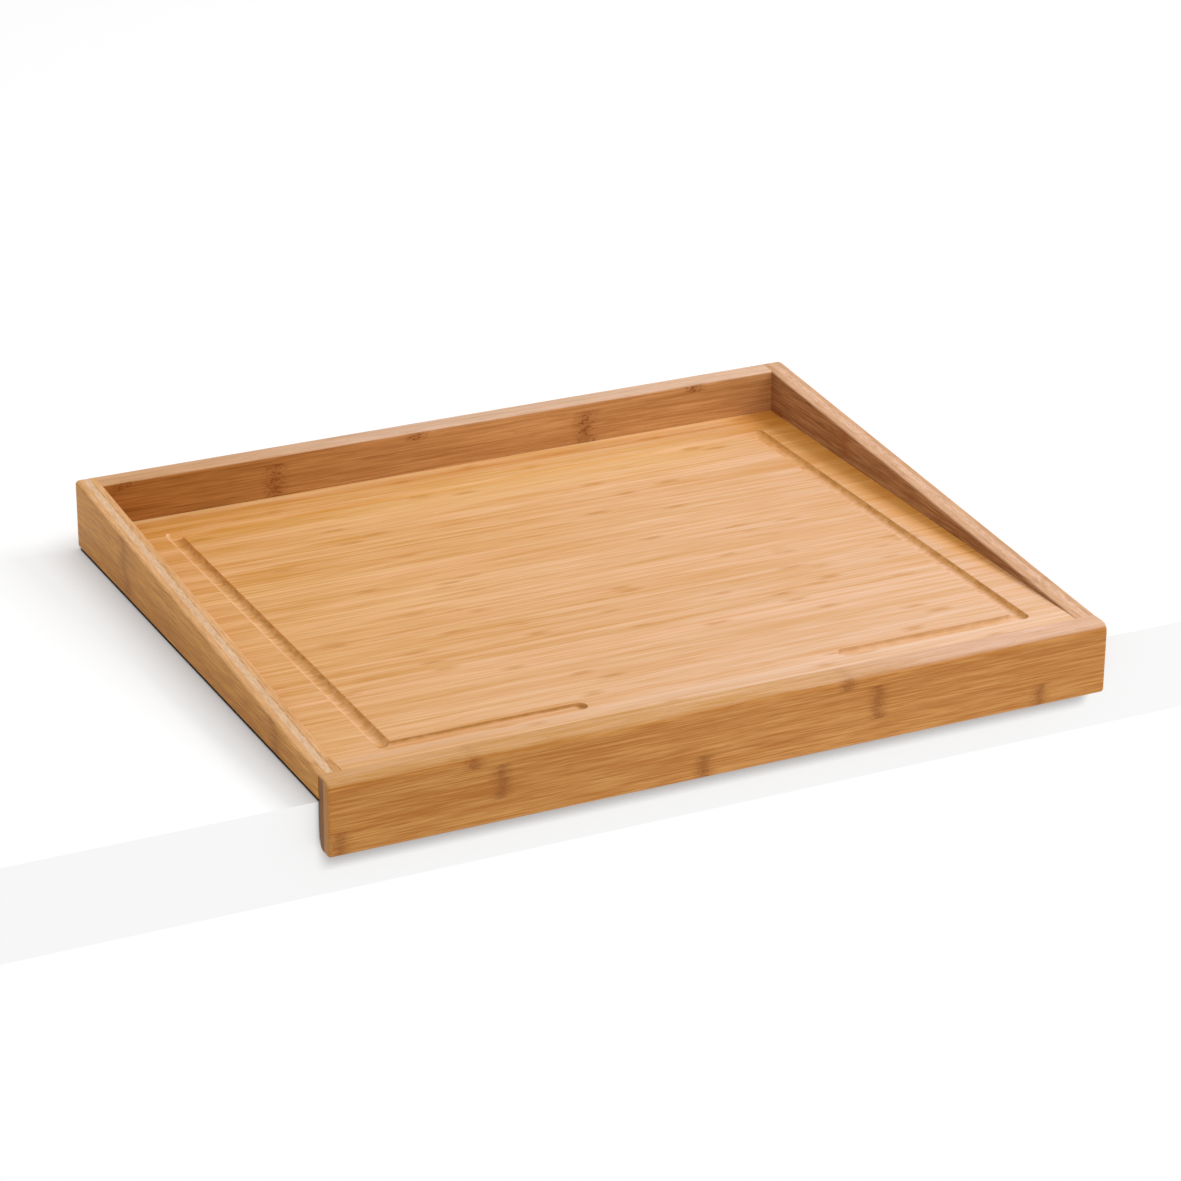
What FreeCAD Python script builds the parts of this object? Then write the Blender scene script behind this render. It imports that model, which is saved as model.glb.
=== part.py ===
"""Bamboo worktop cutting board: a grooved panel in a low tapered frame, with a lip that hooks over a worktop.

Millimetres, +Z up, +X along the lip, +Y towards the back rail. The origin is the middle of the inner corner
that sits on the worktop's front edge: the underside lies in z = 0 and the lip's back face in y = 0.
"""
import FreeCAD
import Part
import Sketcher
import os

SIZES = {
    # Whole board
    "board_width": 540.0,            # across the lip, and across the side walls' outer faces
    "board_run": 425.0,              # from the lip's back face to the rear face of the frame
    "panel_thickness": 17.0,         # also the height of the side walls where they meet the lip
    "rear_height": 48.0,             # side walls and back rail at the rear face
    # Plies
    "frame_ply": 5.0,                # each of the three plies of a side wall or of the back rail
    "lip_ply": 7.5,                  # each of the two plies of the lip
    # Lip
    "lip_drop": 32.0,                # how far the lip reaches below the underside
    "lip_nose_round": 6.0,           # long top front edge, under the hands
    "lip_toe_round": 3.0,            # long bottom front edge
    "lip_heel_round": 5.0,           # long bottom back edge, which rides over the worktop's edge
    "lip_end_round": 1.8,            # edges of the two end faces
    # Eased edges of the frame
    "edge_round": 2.0,               # outer top and bottom edges
    "corner_round": 3.5,             # upright corners at the rear
    # Juice groove
    "groove_cutter_radius": 6.0,     # ball-nosed cutter
    "groove_depth": 3.2,             # at the middle of the groove
    "groove_side_margin": 33.0,      # from a side wall's inner face to the groove's middle line
    "groove_back_margin": 34.5,      # from the back rail's inner face to the groove's middle line
    "groove_front_margin": 19.0,     # from the lip's back face to the groove's middle line
    "groove_mouth": 167.0,           # between the two front ends of the middle line
    # Splines along the panel's four edges
    "spline_width": 12.0,            # half of it in the panel
    "spline_thickness": 4.0,
    "spline_chamfer": 0.6,           # along its four long edges
    "spline_height": 7.5,            # of its middle above the underside, below the groove
    "spline_stop": 30.0,             # from its ends to the panel's corners
    "spline_fit": 0.1,               # slot height over spline thickness
    # Dowels at the ends of the back rail and of the side walls
    "dowel_diameter": 8.0,
    "dowel_length": 30.0,
    "dowel_reach": 8.0,              # into the outer of the two joined pieces
    "dowel_chamfer": 1.0,            # at both ends
    "dowel_fit": 0.1,                # bore diameter over dowel diameter
    "nose_dowel_height": 8.5,        # side wall to lip, above the underside
    "rail_dowels": 2,                # back rail to each side wall
    "rail_dowel_low": 14.0,          # lowest one, above the underside
    "rail_dowel_pitch": 20.0,
    "glue_room": 0.5,                # past the ends of a dowel, and past the edges and ends of a spline
}

PLIES = 3
WALL_LAYERS = ("outer", "core", "inner")
RAIL_LAYERS = ("front", "core", "rear")
LIP_LAYERS = ("back", "front")

# Lengths that several pieces share, written as expressions on the sheet
HALF_WIDTH = "(Sizes.board_width / 2)"
WALL = f"({PLIES} * Sizes.frame_ply)"
PANEL_HALF = f"({HALF_WIDTH} - {WALL})"
PANEL_RUN = f"(Sizes.board_run - {WALL})"
TAPER = "((Sizes.rear_height - Sizes.panel_thickness) / Sizes.board_run)"

X_AXIS = FreeCAD.Vector(1, 0, 0)
Y_AXIS = FreeCAD.Vector(0, 1, 0)
Z_AXIS = FreeCAD.Vector(0, 0, 1)
NEAR = 0.01

doc = FreeCAD.newDocument("cutting_board")
sub_parts = []


def make_sheet():
    """The driving dimensions, one row each: the name, and the value under an alias of that name."""
    sheet = doc.addObject("Spreadsheet::Sheet", "Sizes")
    for row, (name, value) in enumerate(SIZES.items(), start=1):
        sheet.set(f"A{row}", name)
        sheet.set(f"B{row}", str(value))
        sheet.setAlias(f"B{row}", name)
    doc.recompute()
    return sheet


sheet = make_sheet()


def value_of(expression):
    """What an expression on the sheet comes to, as a plain number."""
    return float(sheet.evalExpression(expression))


def bind(item, **expressions):
    """Bind an object's properties to expressions on the sheet; place_x, place_y and place_z move it."""
    for name, expression in expressions.items():
        path = f"Placement.Base.{name[-1]}" if name.startswith("place_") else name
        item.setExpression(path, expression)


def keep(item, label):
    """Name a finished sub-part and put it on the list that is written."""
    item.Label = label
    sub_parts.append(item)


def origin_feature(body, role):
    """One of a body's own origin planes or axes."""
    return next(feature for feature in body.Origin.OriginFeatures if feature.Role == role)


def polygon(body, plane, corners):
    """A closed sketch of straight sides, each corner held by two expressions from the sketch's origin."""
    sketch = body.newObject("Sketcher::SketchObject", "outline")
    sketch.AttachmentSupport = [(origin_feature(body, plane), "")]
    sketch.MapMode = "FlatFace"
    points = [FreeCAD.Vector(value_of(across), value_of(up), 0) for across, up in corners]
    count = len(corners)
    for i in range(count):
        sketch.addGeometry(Part.LineSegment(points[i], points[(i + 1) % count]))
    for i in range(count):
        sketch.addConstraint(Sketcher.Constraint("Coincident", i, 2, (i + 1) % count, 1))
    for i, (across, up) in enumerate(corners):
        held = (("DistanceX", across, points[i].x), ("DistanceY", up, points[i].y))
        for kind, expression, value in held:
            index = sketch.addConstraint(Sketcher.Constraint(kind, -1, 1, i, 1, value))
            sketch.setExpression(f"Constraints[{index}]", expression)
    return sketch


def slab(name, plane, corners, thickness):
    """A body padded from a straight-sided outline."""
    body = doc.addObject("PartDesign::Body", name + "_blank")
    pad = body.newObject("PartDesign::Pad", "pad")
    pad.Profile = polygon(body, plane, corners)
    bind(pad, Length=thickness)
    doc.recompute()
    return body


def near(a, b):
    """True where two lengths are the same place."""
    return abs(a - b) < NEAR


def ease(body, radius, chosen):
    """Round those edges of a body's latest feature whose ends and middle pass the test."""
    base = body.Tip
    names = []
    for number, edge in enumerate(base.Shape.Edges, start=1):
        middle = edge.valueAt((edge.FirstParameter + edge.LastParameter) / 2)
        ends = [vertex.Point for vertex in edge.Vertexes]
        if all(chosen(point) for point in [middle] + ends):
            names.append(f"Edge{number}")
    fillet = body.newObject("PartDesign::Fillet", "ease")
    fillet.Base = (base, names)
    bind(fillet, Radius=f"Sizes.{radius}")
    doc.recompute()


def chamfer_long_edges(body, along):
    """Chamfer the four long edges of a spline."""
    pad = body.Tip
    names = []
    for number, edge in enumerate(pad.Shape.Edges, start=1):
        direction = edge.tangentAt(edge.FirstParameter)
        if near(abs(getattr(direction, along)), 1):
            names.append(f"Edge{number}")
    chamfer = body.newObject("PartDesign::Chamfer", "chamfer")
    chamfer.Base = (pad, names)
    bind(chamfer, Size="Sizes.spline_chamfer")
    doc.recompute()


def cut_out(body, label, cutters):
    """A finished piece: its blank with the slots, bores and groove taken out that cross it."""
    tool = doc.addObject("Part::Compound", label + "_cutters")
    tool.Links = cutters
    piece = doc.addObject("Part::Cut", label)
    piece.Base = body
    piece.Tool = tool
    doc.recompute()
    keep(piece, label)


def turned_bar(name, half_section):
    """A round bar along its body's Z axis, turned from half of its section."""
    body = doc.addObject("PartDesign::Body", name)
    body.AllowCompound = True
    turned = body.newObject("PartDesign::Revolution", "turned")
    turned.Profile = polygon(body, "XZ_Plane", half_section)
    turned.ReferenceAxis = (turned.Profile[0], ["V_Axis"])
    turned.Angle = 360
    doc.recompute()
    return body


def dowel_section():
    """Half of a dowel's section, with chamfered ends; z = 0 is where the two joined pieces meet."""
    radius = "Sizes.dowel_diameter / 2"
    start = "-Sizes.dowel_reach"
    end = "Sizes.dowel_length - Sizes.dowel_reach"
    return [
        ("0", start),
        (f"{radius} - Sizes.dowel_chamfer", start),
        (radius, f"{start} + Sizes.dowel_chamfer"),
        (radius, f"{end} - Sizes.dowel_chamfer"),
        (f"{radius} - Sizes.dowel_chamfer", end),
        ("0", end),
    ]


def bore_section():
    """Half of the section of a dowel's bore, in both of the joined pieces."""
    radius = "(Sizes.dowel_diameter + Sizes.dowel_fit) / 2"
    start = "-Sizes.dowel_reach - Sizes.glue_room"
    end = "Sizes.dowel_length - Sizes.dowel_reach + Sizes.glue_room"
    return [("0", start), (radius, start), (radius, end), ("0", end)]


def repeat(body, count, pitch):
    """Copies of a body's only feature along its X axis."""
    pattern = body.newObject("PartDesign::LinearPattern", "row")
    pattern.Originals = [body.Tip]
    pattern.Direction = (origin_feature(body, "X_Axis"), [""])
    bind(pattern, Length=f"{pitch} * ({count} - 1)", Occurrences=count)
    body.Tip = pattern
    doc.recompute()


def dowels(label, axis, row, place, count=None, pitch=None):
    """Glued dowels and their bores; axis points from the outer of the joined pieces into the inner one."""
    bars = turned_bar(label, dowel_section())
    bores = turned_bar(label + "_bores", bore_section())
    turn = FreeCAD.Rotation(row, FreeCAD.Vector(), axis, "ZXY")
    for body in (bars, bores):
        if count:
            repeat(body, count, pitch)
        body.Placement = FreeCAD.Placement(FreeCAD.Vector(), turn)
        bind(body, place_x=place[0], place_y=place[1], place_z=place[2])
    doc.recompute()
    keep(bars, label)
    return bores


def spline(label, along, place, length):
    """A flat spline along one edge of the panel, half in the panel and half in the piece beside it."""
    half = "(Sizes.spline_width / 2)"
    lying = [("0", f"-{half}"), (length, f"-{half}"), (length, half), ("0", half)]
    corners = lying if along == "x" else [(across, run) for run, across in lying]
    body = slab(label, "XY_Plane", corners, "Sizes.spline_thickness")
    chamfer_long_edges(body, along)
    low = "Sizes.spline_height - Sizes.spline_thickness / 2"
    bind(body, place_x=place[0], place_y=place[1], place_z=low)
    keep(body, label)
    return spline_slot(label, along, place, length)


def spline_slot(label, along, place, length):
    """The slot around a spline, with room for glue past its edges and ends."""
    slot = doc.addObject("Part::Box", label + "_slot")
    run = f"{length} + 2 * Sizes.glue_room"
    across = "Sizes.spline_width + 2 * Sizes.glue_room"
    height = "(Sizes.spline_thickness + Sizes.spline_fit)"
    run_start = "Sizes.glue_room"
    across_start = f"({across}) / 2"
    if along == "x":
        bind(slot, Length=run, Width=across)
        bind(slot, place_x=f"{place[0]} - {run_start}", place_y=f"{place[1]} - {across_start}")
    else:
        bind(slot, Length=across, Width=run)
        bind(slot, place_x=f"{place[0]} - {across_start}", place_y=f"{place[1]} - {run_start}")
    bind(slot, Height=height, place_z=f"Sizes.spline_height - {height} / 2")
    doc.recompute()
    return slot


def make_joints():
    """Every joint between the pieces; returns the slots and bores by joint."""
    stop = "Sizes.spline_stop"
    cross_start = f"({stop} - {PANEL_HALF})"
    cross_length = f"(2 * ({PANEL_HALF} - {stop}))"
    side_length = f"({PANEL_RUN} - 2 * {stop})"
    rail_middle = f"({PANEL_RUN} + {WALL} / 2)"
    wall_middle = f"({HALF_WIDTH} - {WALL} / 2)"
    cuts = {
        "back": spline("back_rail_spline", "x", (cross_start, PANEL_RUN), cross_length),
        "front": spline("front_lip_spline", "x", (cross_start, "0"), cross_length),
    }
    for side, sign in (("left", -1), ("right", 1)):
        wall_face = f"{sign} * {PANEL_HALF}"
        cuts[side] = spline(f"{side}_wall_spline", "y", (wall_face, stop), side_length)
        cuts[f"{side}_rail_end"] = dowels(
            f"{side}_rail_end_dowels", X_AXIS * -sign, Z_AXIS,
            (wall_face, rail_middle, "Sizes.rail_dowel_low"), "Sizes.rail_dowels", "Sizes.rail_dowel_pitch")
        cuts[f"{side}_nose"] = dowels(
            f"{side}_wall_nose_dowel", Y_AXIS, X_AXIS,
            (f"{sign} * {wall_middle}", "0", "Sizes.nose_dowel_height"))
    return cuts


def groove_cutter():
    """The path of a ball-nosed cutter: a cylinder along each leg and a ball at each end and corner."""
    side = f"({PANEL_HALF} - Sizes.groove_side_margin)"
    front = "Sizes.groove_front_margin"
    back = f"({PANEL_RUN} - Sizes.groove_back_margin)"
    mouth = "(Sizes.groove_mouth / 2)"
    height = "Sizes.panel_thickness - Sizes.groove_depth + Sizes.groove_cutter_radius"
    turns = {"x": FreeCAD.Rotation(Y_AXIS, 90), "y": FreeCAD.Rotation(X_AXIS, -90)}
    legs = [
        ("x", f"-{side}", front, f"{side} - {mouth}"),
        ("y", f"-{side}", front, f"{back} - {front}"),
        ("x", f"-{side}", back, f"2 * {side}"),
        ("y", side, front, f"{back} - {front}"),
        ("x", mouth, front, f"{side} - {mouth}"),
    ]
    stops = [
        (f"-{mouth}", front), (f"-{side}", front), (f"-{side}", back),
        (side, back), (side, front), (mouth, front),
    ]
    cuts = []
    for direction, x, y, length in legs:
        leg = doc.addObject("Part::Cylinder", "groove_leg")
        leg.Placement = FreeCAD.Placement(FreeCAD.Vector(), turns[direction])
        bind(leg, Radius="Sizes.groove_cutter_radius", Height=length, place_x=x, place_y=y, place_z=height)
        cuts.append(leg)
    for x, y in stops:
        ball = doc.addObject("Part::Sphere", "groove_stop")
        bind(ball, Radius="Sizes.groove_cutter_radius", place_x=x, place_y=y, place_z=height)
        cuts.append(ball)
    cutter = doc.addObject("Part::MultiFuse", "groove_cutter")
    cutter.Shapes = cuts
    doc.recompute()
    return cutter


def make_panel(cuts):
    """The cutting panel between the walls, with its C-shaped juice groove and slots in all four edges."""
    body = slab("cutting_panel", "XY_Plane", [
        (f"-{PANEL_HALF}", "0"), (PANEL_HALF, "0"),
        (PANEL_HALF, PANEL_RUN), (f"-{PANEL_HALF}", PANEL_RUN),
    ], "Sizes.panel_thickness")
    slots = [cuts[joint] for joint in ("back", "front", "left", "right")]
    cut_out(body, "cutting_panel", [groove_cutter()] + slots)


def make_wall(side, sign, cuts):
    """One side wall: three plies, level with the panel at the lip and rising straight to the rear."""
    run = SIZES["board_run"]
    rear_height = SIZES["rear_height"]
    ply = SIZES["frame_ply"]
    outside = 0 if sign < 0 else ply
    joints = [cuts[joint] for joint in (side, f"{side}_rail_end", f"{side}_nose")]
    for depth, layer in enumerate(WALL_LAYERS):
        name = f"{side}_wall_{layer}_ply"
        body = slab(name, "YZ_Plane", [
            ("0", "0"), ("Sizes.board_run", "0"), ("Sizes.board_run", "Sizes.rear_height"),
            ("0", "Sizes.panel_thickness"),
        ], "Sizes.frame_ply")
        if layer == "outer":
            ease(body, "corner_round", lambda p: near(p.x, outside) and near(p.y, run))
            ease(body, "edge_round", lambda p: on_wall_rim(p, outside, run))
        else:
            ease(body, "edge_round",
                 lambda p: near(p.y, run) and (near(p.z, 0) or near(p.z, rear_height)))
        steps = depth + (1 if sign > 0 else 0)
        bind(body, place_x=f"{sign} * ({HALF_WIDTH} - {steps} * Sizes.frame_ply)")
        cut_out(body, name, joints)


def on_wall_rim(point, outside, run):
    """True on the top and bottom edges of a wall's outer face, its rear corner and its rear face."""
    corner = SIZES["corner_round"]
    top = SIZES["panel_thickness"] + value_of(TAPER) * point.y
    level = near(point.z, 0) or near(point.z, top)
    on_corner = abs(point.x - outside) <= corner and point.y > run - corner - NEAR
    return level and (near(point.x, outside) or near(point.y, run) or on_corner)


def make_rail(cuts):
    """The back rail between the walls: three plies, their tops cut to the same slope as the walls."""
    joints = [cuts[joint] for joint in ("back", "left_rail_end", "right_rail_end")]
    ply = SIZES["frame_ply"]
    for depth, layer in enumerate(RAIL_LAYERS):
        name = f"back_rail_{layer}_ply"
        front = f"({PANEL_RUN} + {depth} * Sizes.frame_ply)"
        front_height = f"(Sizes.panel_thickness + {TAPER} * {front})"
        rear_height = f"({front_height} + {TAPER} * Sizes.frame_ply)"
        body = slab(name, "YZ_Plane", [
            ("0", "0"), ("Sizes.frame_ply", "0"), ("Sizes.frame_ply", rear_height), ("0", front_height),
        ], f"2 * {PANEL_HALF}")
        if layer == "rear":
            top = value_of(rear_height)
            ease(body, "edge_round", lambda p: near(p.y, ply) and (near(p.z, 0) or near(p.z, top)))
        bind(body, place_x=f"-{PANEL_HALF}", place_y=front)
        cut_out(body, name, joints)


def make_lip(cuts):
    """The front lip across the whole width: two plies, its hook hanging in front of the worktop."""
    joints = [cuts[joint] for joint in ("front", "left_nose", "right_nose")]
    ply = SIZES["lip_ply"]
    width = SIZES["board_width"]
    top = SIZES["panel_thickness"]
    bottom = -SIZES["lip_drop"]
    for depth, layer in enumerate(LIP_LAYERS):
        name = f"front_lip_{layer}_ply"
        body = slab(name, "YZ_Plane", [
            ("0", "-Sizes.lip_drop"), ("Sizes.lip_ply", "-Sizes.lip_drop"),
            ("Sizes.lip_ply", "Sizes.panel_thickness"), ("0", "Sizes.panel_thickness"),
        ], "Sizes.board_width")
        if layer == "front":
            ease(body, "lip_nose_round", lambda p: near(p.y, 0) and near(p.z, top))
            ease(body, "lip_toe_round", lambda p: near(p.y, 0) and near(p.z, bottom))
            inner_face = ply
        else:
            ease(body, "lip_heel_round", lambda p: near(p.y, ply) and near(p.z, bottom))
            inner_face = 0
        ease(body, "lip_end_round",
             lambda p: (near(p.x, 0) or near(p.x, width)) and rim_of_end(p, inner_face))
        bind(body, place_x=f"-{HALF_WIDTH}", place_y=f"-{depth + 1} * Sizes.lip_ply")
        cut_out(body, name, joints)


def rim_of_end(point, glued_face):
    """True on the end face's own rim, but not within the glued face between the two plies."""
    ends_of_glue = near(point.z, SIZES["panel_thickness"]) or near(point.z, -SIZES["lip_drop"])
    return ends_of_glue or not near(point.y, glued_face)


def check():
    """Stop if any object failed, or any sub-part has no sound shape."""
    failed = [item.Name for item in doc.Objects if "Invalid" in item.State or "Error" in item.State]
    if failed:
        raise RuntimeError(f"objects that failed: {failed}")
    for item in sub_parts:
        if item.Shape.isNull() or not item.Shape.isValid() or not item.Shape.Solids:
            raise RuntimeError(f"no sound shape in {item.Label}")


def write():
    """Write one file for each sub-part, named by its label."""
    os.makedirs("parts", exist_ok=True)
    for item in sub_parts:
        item.Shape.exportStep(f"parts/{item.Label}.step")
        print(f"{item.Label}: {len(item.Shape.Solids)} solid(s), {item.Shape.Volume / 1000:.1f} cm3")


joint_cuts = make_joints()
make_panel(joint_cuts)
make_wall("left", -1, joint_cuts)
make_wall("right", 1, joint_cuts)
make_rail(joint_cuts)
make_lip(joint_cuts)
doc.recompute()
check()
write()
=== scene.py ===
"""Bamboo worktop cutting board: grooved panel, eased plies and bamboo finishes, on a plain white worktop."""
import math
from dataclasses import dataclass

import bmesh
import bpy
from bpy.props import FloatProperty, FloatVectorProperty, PointerProperty
from mathutils import Matrix, Vector


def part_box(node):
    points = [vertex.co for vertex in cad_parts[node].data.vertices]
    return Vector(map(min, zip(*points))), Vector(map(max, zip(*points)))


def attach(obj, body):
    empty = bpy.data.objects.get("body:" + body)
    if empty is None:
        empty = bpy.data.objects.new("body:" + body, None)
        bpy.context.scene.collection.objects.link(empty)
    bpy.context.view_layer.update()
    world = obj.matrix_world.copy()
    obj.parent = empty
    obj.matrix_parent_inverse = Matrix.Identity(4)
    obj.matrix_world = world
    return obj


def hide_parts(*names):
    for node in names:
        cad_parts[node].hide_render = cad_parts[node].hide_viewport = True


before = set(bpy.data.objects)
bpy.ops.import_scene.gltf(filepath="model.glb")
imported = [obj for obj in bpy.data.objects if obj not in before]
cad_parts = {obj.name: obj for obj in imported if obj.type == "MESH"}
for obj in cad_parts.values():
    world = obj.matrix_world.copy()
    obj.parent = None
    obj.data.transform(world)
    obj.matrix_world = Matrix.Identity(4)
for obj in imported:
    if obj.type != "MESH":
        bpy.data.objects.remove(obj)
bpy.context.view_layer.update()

bl_info = {
    "name": "Worktop cutting board",
    "version": (1, 0, 0),
    "blender": (4, 5, 0),
    "location": "View3D > Sidebar > Cutting board",
    "description": "Dresses the packed cutting board and sets up its stage",
    "category": "Object",
}

MM = 0.001
PANEL_LOW, PANEL_HIGH = (Vector(corner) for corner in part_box("cutting_panel"))
WALL_HIGH = Vector(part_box("left_wall_inner_ply")[1])
ARC_STEPS = 6
SHARP_ANGLE = math.radians(30)
SAME_PLACE = 1e-5
WELD = 1e-6
BOARD_HALF_WIDTH = 270.0
STRIP_PITCH = 6.0
TOP_TINT_DEPTH = 1.4
LIP_TINT_DEPTH = 4.2
BUMP_HEIGHT = 0.15 * MM
KEY_PLACE, KEY_SIZE = (1.6, 0.1, 1.5), 0.9
FILL_PLACE, FILL_SIZE = (0.4, -1.9, -0.5), 1.2
LAMP_AIM = (0.0, 0.2, 0.0)


def length(name, description, default):
    """A length that a user may change, in metres."""
    return FloatProperty(
        name=name, description=description, default=default, min=0.0, unit="LENGTH", precision=5)


def colour(name, description, default):
    """A linear colour that a user may change."""
    return FloatVectorProperty(
        name=name, description=description, default=default, size=3, min=0.0, max=1.0, subtype="COLOR")


def angle(name, description, degrees):
    """An angle that a user may change."""
    return FloatProperty(name=name, description=description, default=math.radians(degrees), unit="ROTATION")


class BoardSizes(bpy.types.PropertyGroup):
    """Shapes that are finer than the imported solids."""
    groove_cutter: length("Groove cutter", "Radius of the ball-nosed cutter", 6 * MM)
    groove_depth: length("Groove depth", "Depth at the groove's middle line", 3.2 * MM)
    groove_arris: length("Groove arris", "Rounding of the groove's two rims", 0.45 * MM)
    groove_side: length("Groove side margin", "From a side wall to the groove's middle line", 33 * MM)
    groove_back: length("Groove back margin", "From the back rail to the groove's middle line", 34.5 * MM)
    groove_front: length("Groove front margin", "From the lip to the groove's middle line", 19 * MM)
    groove_mouth: length("Groove mouth", "Between the two front ends of the middle line", 186 * MM)
    groove_shift: length("Groove shift", "From the panel's middle to the groove's, to the right", 3.2 * MM)
    panel_edge: length("Panel edge", "Hairline chamfer round the panel's top", 0.2 * MM)
    inner_round: length("Inner edge", "Rounding of the inner top edges of the frame", 1.2 * MM)
    rear_round: length("Rear edge", "Rounding of the rear top and bottom edges", 2.1 * MM)
    rear_height: length("Rear height", "Top of the frame at its rear face", 48 * MM)


class BambooColours(bpy.types.PropertyGroup):
    """Colours of the carbonised bamboo, as pale and dark fibres of each place."""
    # Pale front right and warm back left: partly tone, partly painted sheen. Panel light also feeds the
    # painted highlight on the groove's left slopes.
    panel_light: colour("Panel light", "Pale strips at the panel's front right", (0.78, 0.535, 0.38))
    panel_dark: colour("Panel dark", "Dark strips at the panel's front right", (0.68, 0.33, 0.105))
    warm_light: colour("Warm light", "Pale strips at the panel's back left", (0.82, 0.46, 0.15))
    warm_dark: colour("Warm dark", "Dark strips at the panel's back left", (0.62, 0.245, 0.01))
    panel_pink: colour("Panel pink", "Pale strips with a pinkish hue", (0.88, 0.46, 0.26))
    # Panel pale: a paler band between the lip and the groove, and the painted highlight on the groove's left
    # slopes.
    panel_pale: colour(
        "Panel pale", "Strips between the panel's front edge and the groove", (0.88, 0.61, 0.44))
    panel_dash: colour("Panel dash", "Dashes where the panel's canes had their joints", (0.54, 0.20, 0.004))
    # Paler panel colours along the rail and in a band before it: painted light.
    rail_lit_painted_light: colour("Rail foot light", "Pale strips of the panel along the rail", (0.92, 0.62, 0.33))
    rail_lit_painted_dark: colour("Rail foot dark", "Dark strips of the panel along the rail", (0.86, 0.50, 0.17))
    # Darker panel colours along the right wall: painted shadow of the wall, wider where the wall is taller.
    wall_shadow_painted_light: colour(
        "Wall foot light", "Pale strips of the panel along the right wall", (0.95, 0.47, 0.09))
    wall_shadow_painted_dark: colour(
        "Wall foot dark", "Dark strips of the panel along the right wall", (0.74, 0.258, 0.008))
    # Groove light and dark colour the groove's right and far slopes as painted shade.
    groove_light: colour("Groove light", "Pale fibres of the groove's cut face", (0.73, 0.36, 0.088))
    groove_dark: colour("Groove dark", "Dark fibres of the groove's cut face", (0.5, 0.205, 0.016))
    wall_light: colour("Wall light", "Pale fibres of the walls' faces", (0.69, 0.322, 0.062))
    wall_dark: colour("Wall dark", "Dark fibres of the walls' faces", (0.46, 0.168, 0.018))
    nose_light: colour("Nose light", "Pale fibres at the front ends of the outer walls", (0.77, 0.39, 0.088))
    nose_dark: colour("Nose dark", "Dark fibres at the front ends of the outer walls", (0.52, 0.205, 0.027))
    # Shade light and dark: the right wall's inner ply, a darker brown partly of its own and partly as painted
    # shade.
    shade_light: colour("Shade light", "Pale fibres of the right wall's inner face", (0.49, 0.257, 0.112))
    shade_dark: colour("Shade dark", "Dark fibres of the right wall's inner face", (0.28, 0.112, 0.038))
    rail_light: colour("Rail light", "Pale fibres of the rail's left end", (0.55, 0.238, 0.056))
    rail_dark: colour("Rail dark", "Dark fibres of the rail's left end", (0.305, 0.107, 0.013))
    rail_far_light: colour("Rail far light", "Pale fibres of the rail's right end", (0.77, 0.41, 0.165))
    rail_far_dark: colour("Rail far dark", "Dark fibres of the rail's right end", (0.48, 0.213, 0.063))
    lip_light: colour("Lip light", "Pale fibres of the lip's left end", (0.7, 0.335, 0.085))
    lip_dark: colour("Lip dark", "Dark fibres of the lip's left end", (0.475, 0.162, 0.016))
    lip_far_light: colour("Lip far light", "Pale fibres of the lip's right end", (0.79, 0.38, 0.11))
    lip_far_dark: colour("Lip far dark", "Dark fibres of the lip's right end", (0.535, 0.193, 0.03))
    lip_top_light: colour("Lip top light", "Pale fibres of the lip's top", (0.81, 0.48, 0.27))
    lip_top_dark: colour("Lip top dark", "Dark fibres of the lip's top", (0.575, 0.27, 0.056))
    lip_top_far_light: colour(
        "Lip top far light", "Pale fibres of the lip's top at the right", (0.83, 0.545, 0.42))
    lip_top_far_dark: colour(
        "Lip top far dark", "Dark fibres of the lip's top at the right", (0.64, 0.36, 0.2))
    rail_top_far_light: colour(
        "Rail top far light", "Pale fibres of the rail's top at the right", (0.80, 0.53, 0.375))
    rail_top_far_dark: colour(
        "Rail top far dark", "Dark fibres of the rail's top at the right", (0.54, 0.305, 0.16))
    lip_back_end: colour("Lip back end", "End grain of the lip's back ply", (0.13, 0.042, 0.006))
    lip_front_end: colour("Lip front end", "End grain of the lip's front ply", (0.46, 0.21, 0.055))
    left_top_light: colour("Left top light", "Pale fibres of the left wall's top", (0.83, 0.47, 0.21))
    left_top_dark: colour("Left top dark", "Dark fibres of the left wall's top", (0.57, 0.25, 0.06))
    right_top_light: colour("Right top light", "Pale fibres of the right wall's top", (0.75, 0.45, 0.275))
    right_top_dark: colour("Right top dark", "Dark fibres of the right wall's top", (0.5, 0.247, 0.103))
    rail_top_light: colour("Rail top light", "Pale fibres of the rail's top", (0.75, 0.425, 0.215))
    rail_top_dark: colour("Rail top dark", "Dark fibres of the rail's top", (0.505, 0.245, 0.09))
    left_core_light: colour(
        "Left core light", "Pale fibres of the left wall's core ply", (0.83, 0.545, 0.335))
    left_core_dark: colour("Left core dark", "Dark fibres of the left wall's core ply", (0.63, 0.36, 0.165))
    right_core_light: colour(
        "Right core light", "Pale fibres of the right wall's core ply", (0.78, 0.485, 0.32))
    right_core_dark: colour(
        "Right core dark", "Dark fibres of the right wall's core ply", (0.53, 0.275, 0.13))
    knot: colour("Knot", "Bands where a cane had its joints", (0.24, 0.055, 0.0))
    # Seam: glue lines between slats and plies; the panel also uses it for thin painted shade lines under the
    # groove's rims.
    seam: colour("Seam", "Glue lines between slats and plies", (0.30, 0.10, 0.015))
    peg_light: colour("Peg light", "Pale fibres of the splines and dowels", (0.72, 0.52, 0.32))
    peg_dark: colour("Peg dark", "Dark fibres of the splines and dowels", (0.56, 0.37, 0.20))
    worktop: colour("Worktop", "The white worktop that the board lies on", (0.80, 0.80, 0.80))


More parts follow.
